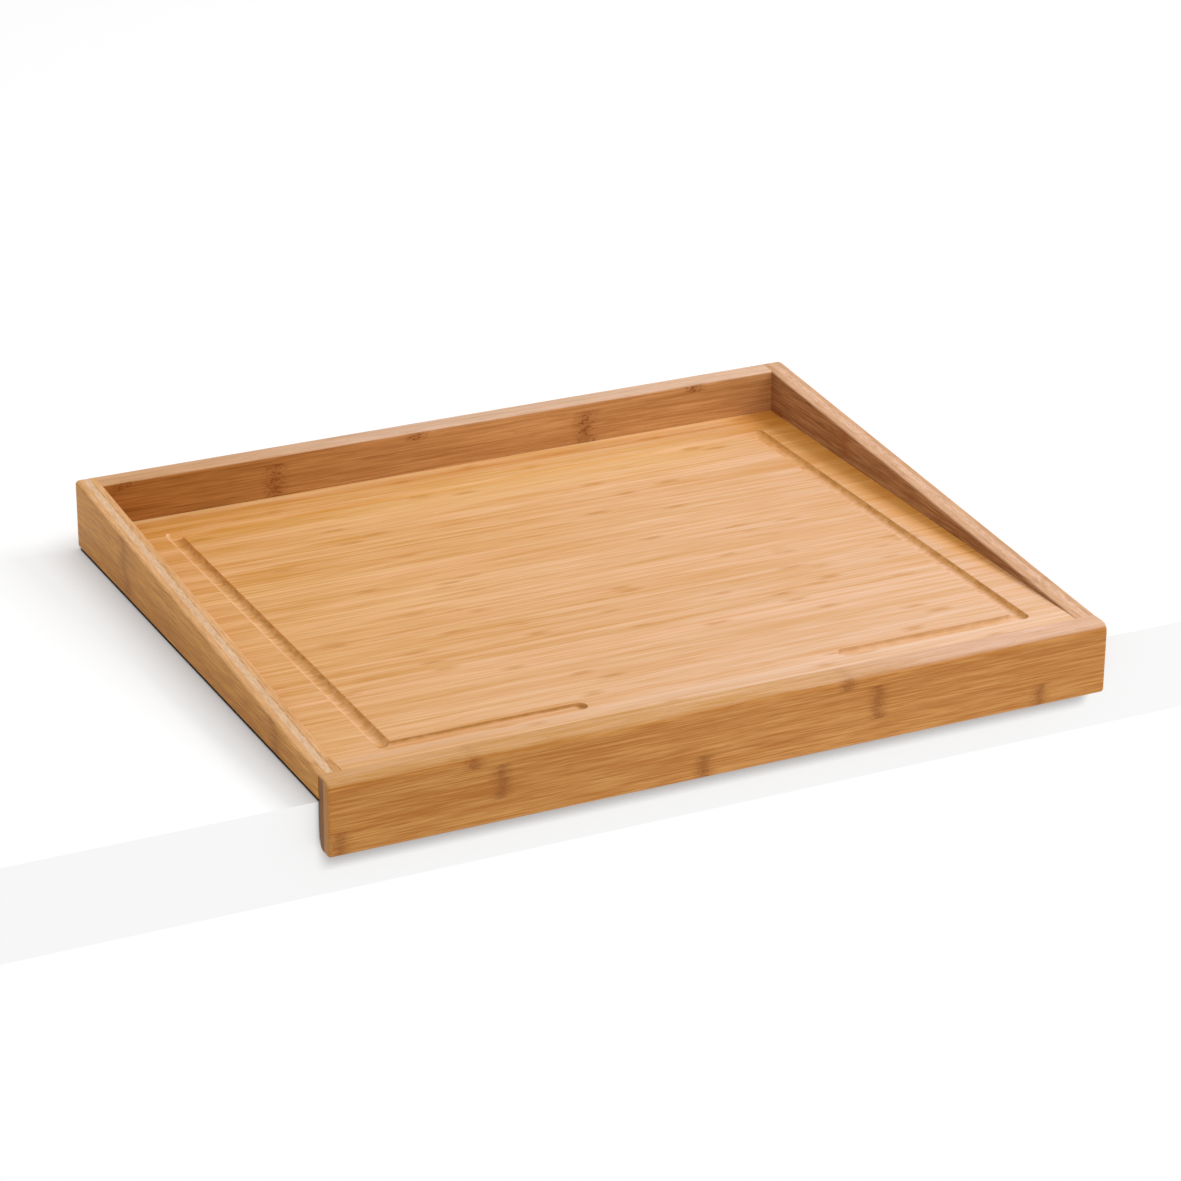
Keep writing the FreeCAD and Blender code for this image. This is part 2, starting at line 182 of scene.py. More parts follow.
class StudioSettings(bpy.types.PropertyGroup):
    """Light and camera."""
    sky: FloatProperty(name="Sky", description="Strength of the even light", default=0.69, min=0.0)
    key: FloatProperty(name="Key", description="Power of the large lamp on the right", default=24.5, min=0.0)
    fill: FloatProperty(name="Fill", description="Power of the soft lamp low in front", default=5.0, min=0.0)
    lens: FloatProperty(
        name="Lens", description="Focal length on a 36 mm sensor, in millimetres", default=121.886)
    azimuth: angle("Azimuth", "Turn of the camera about the vertical, from straight in front", -26.2465)
    elevation: angle("Elevation", "Height of the camera's line of sight above level", 23.7094)
    roll: angle("Roll", "Turn of the camera about its line of sight", 0.3577)
    place: FloatVectorProperty(
        name="Place", description="Where the camera stands", size=3, unit="LENGTH",
        default=(-1.059294, -1.961727, 1.062559))


def sizes():
    """The shape settings of the scene."""
    return bpy.context.scene.board_sizes


def colours():
    """The colour settings of the scene."""
    return bpy.context.scene.board_colours


def studio():
    """The light and camera settings of the scene."""
    return bpy.context.scene.board_studio


class Graph:
    """A node tree under construction: each call adds a node and gives its output socket."""

    def __init__(self, tree):
        self.tree = tree

    def add(self, kind, inputs=None, **settings):
        """A node with its settings made and its inputs fed; gives the node itself."""
        node = self.tree.nodes.new(kind)
        for name, value in settings.items():
            setattr(node, name, value)
        for name, value in (inputs or {}).items():
            self.feed(node.inputs[name], value)
        return node

    def feed(self, socket, value):
        """Link an output to an input, or set the input to a plain value."""
        if isinstance(value, bpy.types.NodeSocket):
            self.tree.links.new(value, socket)
        else:
            socket.default_value = value

    def math(self, operation, a, b=0.0, c=0.0, clamp=False):
        """One arithmetic step."""
        return self.add("ShaderNodeMath", {0: a, 1: b, 2: c}, operation=operation, use_clamp=clamp).outputs[0]

    def vector(self, operation, a, b):
        """One arithmetic step on vectors."""
        return self.add("ShaderNodeVectorMath", {0: a, 1: b}, operation=operation).outputs[0]

    def parts(self, vector):
        """The three components of a vector."""
        return self.add("ShaderNodeSeparateXYZ", {0: vector}).outputs

    def size(self, vector):
        """The length of a vector."""
        return self.add("ShaderNodeVectorMath", {0: vector}, operation="LENGTH").outputs["Value"]

    def join(self, x, y, z):
        """A vector from three components."""
        return self.add("ShaderNodeCombineXYZ", {0: x, 1: y, 2: z}).outputs[0]

    def noise(self, vector, stretch, detail=2.0, roughness=0.5):
        """Soft noise from 0 to 1, with its own number of waves per millimetre along each axis."""
        place = self.vector("MULTIPLY", vector, stretch)
        inputs = {"Vector": place, "Scale": 1.0, "Detail": detail, "Roughness": roughness}
        return self.add("ShaderNodeTexNoise", inputs, noise_dimensions="3D").outputs["Fac"]

    def fade(self, value, start, end):
        """0 up to start and 1 from end, with a smooth step between them."""
        inputs = {"Value": value, "From Min": start, "From Max": end}
        return self.add("ShaderNodeMapRange", inputs, interpolation_type="SMOOTHSTEP").outputs["Result"]

    def mix(self, factor, a, b):
        """A blend of two colours."""
        return self.add("ShaderNodeMix", {0: factor, 6: a, 7: b}, data_type="RGBA").outputs[2]

    def group(self, name, **inputs):
        """A shared node group with its inputs fed; gives its outputs by name."""
        node = self.add("ShaderNodeGroup", node_tree=bpy.data.node_groups[name])
        for label, value in inputs.items():
            self.feed(node.inputs[label], value)
        return node.outputs


def new_group(name, inputs, outputs):
    """An empty shader node group with named sockets; gives its graph, its inputs and its outputs."""
    tree = bpy.data.node_groups.new(name, "ShaderNodeTree")
    for label, kind in inputs.items():
        tree.interface.new_socket(label, in_out="INPUT", socket_type="NodeSocket" + kind)
    for label, kind in outputs.items():
        tree.interface.new_socket(label, in_out="OUTPUT", socket_type="NodeSocket" + kind)
    graph = Graph(tree)
    return graph, graph.add("NodeGroupInput").outputs, graph.add("NodeGroupOutput").inputs


def fibre_group():
    """Fibres of bamboo as a solid, in millimetres: patches, streaks and fine lines, and dark flecks."""
    graph, given, result = new_group(
        "bamboo_fibre", {"Grain": "Vector", "Seed": "Float"},
        {"Patch": "Float", "Streak": "Float", "Line": "Float", "Fleck": "Float"})
    shift = graph.vector("SCALE", (53.7, 91.3, 27.1), (0.0, 0.0, 0.0))
    graph.feed(shift.node.inputs["Scale"], given["Seed"])
    place = graph.vector("ADD", given["Grain"], shift)
    graph.feed(result["Patch"], graph.noise(place, (0.012, 0.07, 0.07), 2.0))
    graph.feed(result["Streak"], graph.noise(place, (0.010, 0.34, 0.34), 2.0, 0.6))
    graph.feed(result["Line"], graph.noise(place, (0.025, 1.0, 1.0), 2.0, 0.65))
    flecks = graph.fade(graph.noise(place, (0.08, 0.9, 0.9), 2.0), 0.58, 0.72)
    graph.feed(result["Fleck"], graph.math("MULTIPLY", flecks, 0.2))


def from_repeat(graph, place, period):
    """Distance to the nearest of a row of places that repeat."""
    half = graph.math("MULTIPLY", period, 0.5)
    return graph.math("ABSOLUTE", graph.math("WRAP", place, half, graph.math("MULTIPLY", half, -1.0)))


def falling(graph, value, start, end):
    """1 up to start and 0 from end."""
    return graph.math("SUBTRACT", 1.0, graph.fade(value, start, end))


def knot_group():
    """Bands across a slat at the cane's joints: a soft halo round a ragged core, with dark specks."""
    graph, given, result = new_group(
        "bamboo_knot",
        {"Grain": "Vector", "Shift": "Float", "Period": "Float", "Width": "Float", "Depth": "Float",
         "Dots": "Float"},
        {"Band": "Float", "Speck": "Float"})
    along = graph.math("SUBTRACT", graph.parts(given["Grain"])[0], given["Shift"])
    wander = graph.math("SUBTRACT", graph.noise(given["Grain"], (0.02, 0.16, 0.16), 2.0), 0.5)
    ragged = graph.math("SUBTRACT", graph.noise(given["Grain"], (0.05, 0.9, 0.9), 1.0), 0.5)
    bent = graph.math("MULTIPLY_ADD", wander, 6.0, along)
    torn = graph.math("MULTIPLY_ADD", ragged, 7.0, bent)
    reach = graph.math("DIVIDE", from_repeat(graph, bent, given["Period"]), given["Width"])
    torn_reach = graph.math("DIVIDE", from_repeat(graph, torn, given["Period"]), given["Width"])
    halo = falling(graph, reach, 0.1, 1.0)
    core = falling(graph, torn_reach, 0.0, 0.5)
    dots = graph.fade(graph.noise(given["Grain"], (0.40, 0.75, 0.75), 1.0), 0.50, 0.62)
    both = graph.math("MULTIPLY_ADD", core, 0.5, graph.math("MULTIPLY", halo, 0.5))
    graph.feed(result["Band"], graph.math("MULTIPLY", both, given["Depth"]))
    graph.feed(result["Speck"], graph.math("MULTIPLY", graph.math("MULTIPLY", halo, dots), given["Dots"]))


def strip_group():
    """Strips pressed side by side: tones, hues, thin lines between them, and dashes at the cane's joints."""
    graph, given, result = new_group(
        "bamboo_strip", {"Grain": "Vector", "Pitch": "Float"},
        {"Tone": "Float", "Hue": "Float", "Dash": "Float"})
    along, across, _depth = graph.parts(given["Grain"])
    row = graph.math("DIVIDE", across, given["Pitch"])
    cell_inputs = {"W": row, "Scale": 1.0, "Randomness": 0.6}
    cell = graph.add("ShaderNodeTexVoronoi", cell_inputs, voronoi_dimensions="1D", feature="F1")
    edge = graph.add("ShaderNodeTexVoronoi", cell_inputs, voronoi_dimensions="1D", feature="DISTANCE_TO_EDGE")
    tint, shift, strength = graph.add("ShaderNodeSeparateColor", {0: cell.outputs["Color"]}).outputs
    from_edge = graph.math("MULTIPLY", edge.outputs["Distance"], given["Pitch"])

    swell = graph.noise(given["Grain"], (0.004, 0.05, 0.05), 1.0)
    tone = graph.math("MULTIPLY_ADD", tint, 0.36, 0.02)
    tone = graph.math("MULTIPLY_ADD", swell, 0.6, tone)
    paler = graph.fade(graph.noise(given["Grain"], (0.005, 0.11, 0.11), 1.0), 0.44, 0.60)
    pale_line = graph.math("MULTIPLY", falling(graph, from_edge, 0.1, 0.9), paler)
    dark_line = graph.math("SUBTRACT", falling(graph, from_edge, 0.1, 0.7), pale_line, clamp=True)
    tone = graph.math("MULTIPLY_ADD", pale_line, 0.42, tone)
    graph.feed(result["Tone"], graph.math("MULTIPLY_ADD", dark_line, -0.22, tone))
    flush = graph.noise(given["Grain"], (0.006, 0.07, 0.07), 1.0)
    graph.feed(result["Hue"], graph.math("MULTIPLY_ADD", flush, 0.6, graph.math("MULTIPLY", shift, 0.5)))

    period = graph.math("MULTIPLY_ADD", tint, 70.0, 190.0)
    distance = from_repeat(graph, graph.math("MULTIPLY_ADD", shift, period, along), period)
    share = graph.math("DIVIDE", distance, graph.math("MULTIPLY_ADD", strength, 8.0, 7.0))
    halo = graph.math("MULTIPLY", falling(graph, share, 0.25, 1.0), graph.fade(from_edge, 0.0, 1.2))
    heart = graph.math("MULTIPLY", falling(graph, share, 0.0, 0.55), graph.fade(from_edge, 0.6, 2.4))
    both = graph.math("MULTIPLY_ADD", heart, 0.3, graph.math("MULTIPLY", halo, 0.7))
    ragged = graph.fade(graph.noise(given["Grain"], (0.07, 0.42, 0.42), 2.0), 0.22, 0.55)
    dash = graph.math("MULTIPLY", graph.math("MULTIPLY", both, ragged), graph.fade(strength, 0.1, 0.8))
    graph.feed(result["Dash"], dash)


def surface_group():
    """Colour, roughness and height of bamboo from its fibres, knots, glue lines and end grain."""
    graph, given, result = new_group(
        "bamboo_surface",
        {"Light": "Color", "Dark": "Color", "Knot": "Color", "Seam Colour": "Color", "End Colour": "Color",
         "Tone": "Float", "Patch": "Float", "Streak": "Float", "Line": "Float", "Fleck": "Float",
         "Band": "Float", "Speck": "Float", "Seam": "Float", "End": "Float"},
        {"Color": "Color", "Roughness": "Float", "Height": "Float"})
    shade = given["Tone"]
    for name, amount in (("Patch", 0.75), ("Streak", 0.8), ("Line", 2.3)):
        swing = graph.math("SUBTRACT", given[name], 0.5)
        shade = graph.math("MULTIPLY_ADD", swing, amount, shade)
    colour = graph.mix(graph.math("MAXIMUM", shade, 0.0, clamp=True), given["Dark"], given["Light"])
    for name, target in (
            ("Fleck", "Knot"), ("Band", "Knot"), ("Speck", "Knot"),
            ("Seam", "Seam Colour"), ("End", "End Colour")):
        colour = graph.mix(given[name], colour, given[target])
    graph.feed(result["Color"], colour)
    graph.feed(result["Roughness"], graph.math("MULTIPLY_ADD", given["Line"], 0.22, 0.38))
    pits = graph.math("ADD", given["Seam"], given["Speck"])
    graph.feed(result["Height"], graph.math("SUBTRACT", given["Line"], pits))


def rgba(value):
    """A colour setting as a socket takes it."""
    return (*value, 1.0)


def fibre_tones(name):
    """The pale and the dark fibres of one place."""
    return tuple(rgba(getattr(colours(), f"{name}_{end}")) for end in ("light", "dark"))


def new_material(name, plain_colour):
    """A material with an empty graph; gives both."""
    material = bpy.data.materials.new(name)
    material.use_nodes = True
    material.node_tree.nodes.clear()
    material.diffuse_color = plain_colour
    return material, Graph(material.node_tree)


def grain_place(graph, order):
    """Object coordinates in millimetres: as they are, and in the order along, across and into the grain."""
    place = graph.add("ShaderNodeTexCoord").outputs["Object"]
    axes = dict(zip("xyz", graph.parts(graph.vector("MULTIPLY", place, (1 / MM, 1 / MM, 1 / MM)))))
    return graph.join(*(axes[axis] for axis in order)), axes


def blend_tones(graph, factor, near, far):
    """Pale and dark fibres of one place turned into those of another."""
    return tuple(graph.mix(factor, a, b) for a, b in zip(near, far))


def choose(graph, above, low, high):
    """One value below a boundary and another above it."""
    return graph.math("MULTIPLY_ADD", graph.math("SUBTRACT", high, low), above, low)


def thin_line(graph, value, place, width):
    """1 at one place and 0 from a small distance off it, in millimetres."""
    return falling(graph, graph.math("ABSOLUTE", graph.math("SUBTRACT", value, place)), 0.05, width)


def wood_output(graph, surface, bump, gloss):
    """The satin finish over a bamboo surface."""
    normal = graph.add(
        "ShaderNodeBump", {"Strength": bump, "Distance": BUMP_HEIGHT, "Height": surface["Height"]})
    shader = graph.add("ShaderNodeBsdfPrincipled", {
        "Base Color": surface["Color"], "Roughness": surface["Roughness"], "Normal": normal.outputs["Normal"],
        "Specular IOR Level": gloss,
    })
    graph.add("ShaderNodeOutputMaterial", {"Surface": shader.outputs["BSDF"]})


def groove_painted_light(graph, axes):
    """Painted light in the groove's cut face: painted shade on the right slopes of its side runs and the far
    slopes of its front runs, a painted highlight on the left slopes of its side runs, and thin painted shade
    lines under the rims of its front runs.
    """
    x = graph.math("SUBTRACT", axes["x"], sizes().groove_shift / MM)
    side_line = (PANEL_HIGH.x - sizes().groove_side) / MM
    side = graph.math("MULTIPLY", graph.math("SIGN", x), side_line)
    across = graph.math("SUBTRACT", x, side)
    in_side_run = falling(graph, graph.math("ABSOLUTE", across), 6.0, 7.0)
    right_slope = graph.fade(across, 0.3, 4.6)
    left_slope_highlight = graph.math("MULTIPLY", in_side_run, falling(graph, across, -4.0, -0.5))
    short_of_ends = graph.math("MULTIPLY", graph.fade(axes["y"], 24.0, 34.0), falling(
        graph, graph.math("MULTIPLY_ADD", x, 0.1, axes["y"]), 362.0, 385.0))
    left_slope_highlight = graph.math("MULTIPLY", left_slope_highlight, short_of_ends)

    beyond = graph.math("SUBTRACT", axes["y"], (PANEL_LOW.y + sizes().groove_front) / MM)
    short = graph.math("SUBTRACT", (PANEL_HIGH.y - sizes().groove_back) / MM, axes["y"])
    from_mitre = graph.math("SUBTRACT", graph.math("MINIMUM", beyond, short), across)
    past_end = graph.math("SUBTRACT", sizes().groove_mouth / 2 / MM, graph.math("ABSOLUTE", x))
    near_rim = 3.0
    left_half = falling(graph, x, -80.0, 80.0)
    along_run, across_run = (
        graph.math("MAXIMUM", graph.math("ADD", distance, near_rim), 0.0) for distance in (past_end, beyond))
    reach, slope_reach = (
        graph.size(graph.join(end, across_run, 0.0))
        for end in (along_run, graph.math("MULTIPLY", along_run, left_half)))
    far_rim = graph.fade(slope_reach, choose(graph, left_half, 0.0, near_rim + 3.0), near_rim + 4.6)
    far_rim = graph.math("MULTIPLY", far_rim, falling(graph, reach, near_rim + 6.0, near_rim + 7.0))
    far_rim = graph.math("MULTIPLY", far_rim, graph.math("MULTIPLY_ADD", left_half, 0.45, 0.45))
    painted_rim_shade = thin_line(graph, reach, near_rim + 4.9, 1.2)
    at_tip = graph.math("MULTIPLY_ADD", graph.fade(past_end, -1.0, 2.0), 0.45, 0.08)
    painted_rim_shade = graph.math("MULTIPLY", painted_rim_shade, choose(graph, left_half, at_tip, 0.44))
    past_mitre = choose(graph, left_half, 1.0, graph.fade(from_mitre, -1.0, 0.6))
    in_side_run = graph.math("MULTIPLY", in_side_run, past_mitre)
    return choose(graph, in_side_run, far_rim, right_slope), left_slope_highlight, painted_rim_shade


def panel_bamboo():
    """Side-pressed strips of the panel, along the lip: paler to the front right, partly as painted sheen;
    mottled in the groove, with painted shade and painted highlights on its slopes; painted light along the
    rail and painted shadow along the right wall.
    """
    hues = colours()
    material, graph = new_material("panel_bamboo", rgba(hues.panel_light))
    grain, axes = grain_place(graph, "xyz")
    strips = graph.group("bamboo_strip", Grain=grain, Pitch=STRIP_PITCH)
    fibres = graph.group("bamboo_fibre", Grain=grain, Seed=1.0)

    # Paler to the front right and warmer to the back left: partly tone, partly painted sheen.
    drift = graph.fade(graph.math("MULTIPLY_ADD", axes["y"], -0.7, axes["x"]), -450.0, 200.0)
    left_margin = falling(graph, axes["x"], -250.0, -222.0)
    drift = graph.math("MULTIPLY", drift, graph.math("MULTIPLY_ADD", left_margin, -0.25, 1.0))
    light, dark = blend_tones(graph, drift, fibre_tones("warm"), fibre_tones("panel"))
    light = graph.mix(graph.math("MULTIPLY", strips["Hue"], 0.6), light, rgba(hues.panel_pink))
    front = graph.math(
        "MULTIPLY", falling(graph, axes["y"], 9.0, 22.0), graph.fade(axes["x"], -160.0, 160.0))
    light = graph.mix(graph.math("MULTIPLY", front, 0.8), light, rgba(hues.panel_pale))
    margin = graph.math(
        "MULTIPLY", graph.fade(axes["y"], 1.5, 8.0), falling(graph, axes["y"], 10.0, 17.0))
    dark = graph.mix(graph.math("MULTIPLY", margin, 0.4), dark, rgba(hues.panel_light))

    # Painted light: the panel paler in a band before the rail and along the rail's foot.
    painted_light_before_rail = graph.math(
        "MULTIPLY", graph.fade(axes["y"], 315.0, 365.0), falling(graph, axes["y"], 384.0, 397.0))
    inside = graph.math(
        "MULTIPLY", graph.fade(axes["x"], -150.0, -10.0), falling(graph, axes["x"], 130.0, 260.0))
    painted_light_before_rail = graph.math("MULTIPLY", painted_light_before_rail, inside)
    rail_lit_painted = falling(graph, graph.math("SUBTRACT", PANEL_HIGH.y / MM, axes["y"]), 1.0, 12.0)
    # Painted shadow of the right wall, wider where the wall rises.
    wall_rise = graph.math("MULTIPLY_ADD", axes["y"], frame_slope(), 1.0)
    from_wall = graph.math("DIVIDE", graph.math("SUBTRACT", PANEL_HIGH.x / MM, axes["x"]), wall_rise)
    wall_shadow_painted = graph.math(
        "MULTIPLY", falling(graph, from_wall, 0.1, 1.9), graph.fade(axes["y"], 20.0, 150.0))
    # Blend in the painted light along the rail and the painted shadow along the right wall.
    for name, foot, amount in (
            ("rail_lit_painted", painted_light_before_rail, 0.4), ("rail_lit_painted", rail_lit_painted, 0.8), ("wall_shadow_painted", wall_shadow_painted, 0.9)):
        foot = graph.math("MULTIPLY", foot, amount)
        light, dark = blend_tones(graph, foot, (light, dark), fibre_tones(name))

    below = graph.math("SUBTRACT", PANEL_HIGH.z / MM, axes["z"])
    cut = graph.math("SUBTRACT", graph.fade(below, 0.1, 0.6), graph.fade(below, 4.0, 5.0))
    # Painted shade on the groove's right and far slopes, a painted highlight on its left slopes, and thin
    # painted shade lines under its front rims.
    slope_shade_painted, slope_highlight_painted, painted_rim_shade = (
        graph.math("MULTIPLY", cut, share) for share in groove_painted_light(graph, axes))
    slope_highlight_painted = graph.math("MULTIPLY", slope_highlight_painted, 0.5)
    light, dark = blend_tones(
        graph, slope_highlight_painted, (light, dark), (rgba(hues.panel_pale), rgba(hues.panel_light)))
    light, dark = blend_tones(graph, slope_shade_painted, (light, dark), fibre_tones("groove"))
    mottle = graph.fade(graph.noise(grain, (0.15, 0.13, 0.3), 2.0), 0.3, 0.7)
    streak = graph.math("MULTIPLY_ADD", fibres["Streak"], 2.06, -0.53)
    dashes = graph.math("MULTIPLY", strips["Dash"], choose(graph, cut, 0.62, 0.0))
    surface = graph.group(
        "bamboo_surface", Light=light, Dark=dark, Knot=rgba(hues.panel_dash), Patch=0.5,
        Tone=choose(graph, slope_shade_painted, strips["Tone"], 0.5), Streak=choose(graph, slope_shade_painted, streak, mottle),
        Line=graph.math("MULTIPLY_ADD", fibres["Line"], 0.6, 0.2), Band=dashes, Seam=painted_rim_shade,
        **{"Seam Colour": rgba(hues.seam)})
    wood_output(graph, surface, 0.12, 0.4)
    return material


@dataclass
class Ply:
    """What one ply shows, in millimetres and as pairs of pale and dark fibres."""
    name: str
    along: str
    slats: list
    seed: float
    tones: tuple
    far_tones: tuple = None
    top: tuple = None
    top_tones: tuple = None
    top_far_tones: tuple = None
    top_drift: tuple = None
    end: float = None
    end_tone: tuple = None
    joint: float = None
    grain_scale: float = 1.0
    knot_width: float = 10.0
    knot_depth: float = 0.5
    knot_dots: float = 0.34
    lines: float = 1.0
    flecks: bool = True
    gloss: float = 0.4


def slat_bamboo(ply):
    """Flat-pressed slats one above another; each is (its top, place of one knot, knot spacing, tone)."""
    hues = colours()
    material, graph = new_material(ply.name, ply.tones[0])
    across = "y" if ply.along == "x" else "x"
    grain, axes = grain_place(graph, ply.along + "z" + across)
    knot_and_tone = ply.slats[-1][1:]
    seam = 0.0
    for slat_top, *lower in reversed(ply.slats[:-1]):
        above = graph.math("GREATER_THAN", axes["z"], slat_top)
        knot_and_tone = [choose(graph, above, low, high) for low, high in zip(lower, knot_and_tone)]
        line = graph.math("MULTIPLY", thin_line(graph, axes["z"], slat_top, 0.4), 0.25)
        seam = graph.math("MAXIMUM", seam, line)
    shift, period, tone = knot_and_tone
    if ply.joint:
        beside = thin_line(graph, graph.math("ABSOLUTE", axes["x"]), ply.joint, 0.9)
        broken = graph.fade(graph.noise(grain, (0.12, 0.5, 0.5), 2.0), 0.42, 0.62)
        line = graph.math("MULTIPLY", graph.math("MULTIPLY", beside, broken), 0.55)
        seam = graph.math("MAXIMUM", seam, line)
    end = 0.0
    if ply.end:
        far_out = graph.fade(graph.math("ABSOLUTE", axes[ply.along]), ply.end - 0.8, ply.end)
        end = graph.math("MULTIPLY", far_out, 0.75)
    tones = ply.tones
    knot_depth, knot_dots, contrast = ply.knot_depth, ply.knot_dots, ply.lines
    if ply.far_tones and ply.along == "x":
        drift = graph.fade(axes["x"], PANEL_LOW.x / MM, 80.0)
        tones = blend_tones(graph, drift, tones, ply.far_tones)
    elif ply.far_tones:
        drift = falling(graph, axes["y"], 15.0, 75.0)
        tones = blend_tones(graph, drift, tones, ply.far_tones)
    if ply.top:
        start, slope, depth = ply.top
        below = graph.math("SUBTRACT", graph.math("MULTIPLY_ADD", axes["y"], slope, start), axes["z"])
        edge = falling(graph, below, 0.2 * depth, depth)
        top_tones = ply.top_tones
        if ply.top_drift:
            drift = graph.fade(axes["x"], *ply.top_drift)
            top_tones = blend_tones(graph, drift, top_tones, ply.top_far_tones)
        tones = blend_tones(graph, edge, tones, top_tones)
        knot_depth, knot_dots = (
            graph.math("MULTIPLY_ADD", edge, -0.8 * amount, amount) for amount in (knot_depth, knot_dots))
        contrast = choose(graph, edge, contrast, 0.7)
    knots = graph.group(
        "bamboo_knot", Grain=grain, Shift=shift, Period=period, Width=ply.knot_width, Depth=knot_depth,
        Dots=knot_dots)
    stretched = graph.vector("MULTIPLY", grain, (ply.grain_scale, 1.0, 1.0))
    fibres = graph.group("bamboo_fibre", Grain=stretched, Seed=ply.seed)
    lines = graph.math("MULTIPLY_ADD", graph.math("SUBTRACT", fibres["Line"], 0.5), contrast, 0.5)
    surface = graph.group(
        "bamboo_surface", Light=tones[0], Dark=tones[1], Knot=rgba(hues.knot), Tone=tone,
        Patch=fibres["Patch"], Streak=fibres["Streak"], Line=lines,
        Fleck=fibres["Fleck"] if ply.flecks else 0.0,
        Band=knots["Band"], Speck=knots["Speck"], Seam=seam, End=end,
        **{"Seam Colour": rgba(hues.seam), "End Colour": ply.end_tone or ply.tones[1]})
    wood_output(graph, surface, 0.2, ply.gloss)
    return material


def seen_directly(graph):
    """1 for rays from the camera, and for those that a mirror or glass sends on."""
    path = graph.add("ShaderNodeLightPath").outputs
    mirrored = graph.math("MAXIMUM", path["Is Camera Ray"], path["Is Glossy Ray"])
    return graph.math("MAXIMUM", mirrored, path["Is Transmission Ray"])


def white_laminate(name, glow, reach, power, clear_beyond=None):
    """A matt white worktop that looks about white to the camera, with painted shade by the board and painted
    black in narrow gaps.
    """
    white = rgba(colours().worktop)
    material, graph = new_material(name, white)
    seen = seen_directly(graph)
    # Painted shade: the camera-only glow falls off with ambient occlusion by the board, and glow and colour
    # go black in narrow gaps.
    open_share = graph.add("ShaderNodeAmbientOcclusion", {"Distance": reach}, samples=16).outputs["AO"]
    out_of_gap = graph.fade(open_share, 0.32, 0.5)
    share = graph.math("POWER", open_share, power)
    if clear_beyond:
        _grain, axes = grain_place(graph, "xyz")
        # Beside the lip's ends the glow keeps no painted shade.
        beside = graph.fade(graph.math("ABSOLUTE", axes["x"]), clear_beyond - 8.0, clear_beyond + 4.0)
        share = choose(graph, beside, share, 1.0)
        # Painted light: the glow grows brighter to the right.
        painted_light_rightward = graph.math("MULTIPLY_ADD", graph.fade(axes["x"], 0.0, 340.0), 0.1, 1.0)
        share = graph.math("MULTIPLY", share, painted_light_rightward)
    share = graph.math("MULTIPLY", share, out_of_gap)
    black, bright = rgba((0.0, 0.0, 0.0)), rgba((glow, glow, glow))
    shown = graph.mix(seen, white, rgba((0.45, 0.45, 0.45)))
    shader = graph.add("ShaderNodeBsdfPrincipled", {
        "Base Color": graph.mix(out_of_gap, black, shown), "Roughness": 0.6, "Specular IOR Level": 0.0,
        "Emission Color": graph.mix(graph.math("MULTIPLY", seen, share), black, bright),
        "Emission Strength": 1.0})
    graph.add("ShaderNodeOutputMaterial", {"Surface": shader.outputs[0]})
    return material


def finish_node(node, material):
    """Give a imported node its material."""
    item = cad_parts[node]
    for slot in item.material_slots:
        slot.material = material


def new_piece(name, bm, material, node=None):
    """Turn a bmesh into an object of the board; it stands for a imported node."""
    for edge in bm.edges:
        edge.smooth = len(edge.link_faces) == 2 and edge.calc_face_angle() < SHARP_ANGLE
    mesh = bpy.data.meshes.new(name)
    bm.to_mesh(mesh)
    bm.free()
    piece = bpy.data.objects.new(name, mesh)
    bpy.context.scene.collection.objects.link(piece)
    mesh.materials.append(material)
    if node:
        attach(piece, "root")
        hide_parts(node)
    return piece


def edges_in(geom):
    """The edges among the results of a bmesh operator."""
    return [item for item in geom if isinstance(item, bmesh.types.BMEdge)]


def verts_in(geom):
    """The vertices among the results of a bmesh operator."""
    return [item for item in geom if isinstance(item, bmesh.types.BMVert)]


def carry(bm, edges, matrix):
    """Extrude a row of edges and carry the new row to its place; gives the new row."""
    grown = bmesh.ops.extrude_edge_only(bm, edges=edges)["geom"]
    verts = verts_in(grown)
    bmesh.ops.transform(bm, verts=verts, matrix=matrix)
    return [edge for edge in edges_in(grown) if all(vert in verts for vert in edge.verts)]


def swing(bm, geom, centre, axis, turn, steps):
    """Spin vertices or edges about a centre; gives what stands at the end of the turn."""
    return bmesh.ops.spin(bm, geom=geom, cent=centre, axis=axis, angle=turn, steps=steps)["geom_last"]


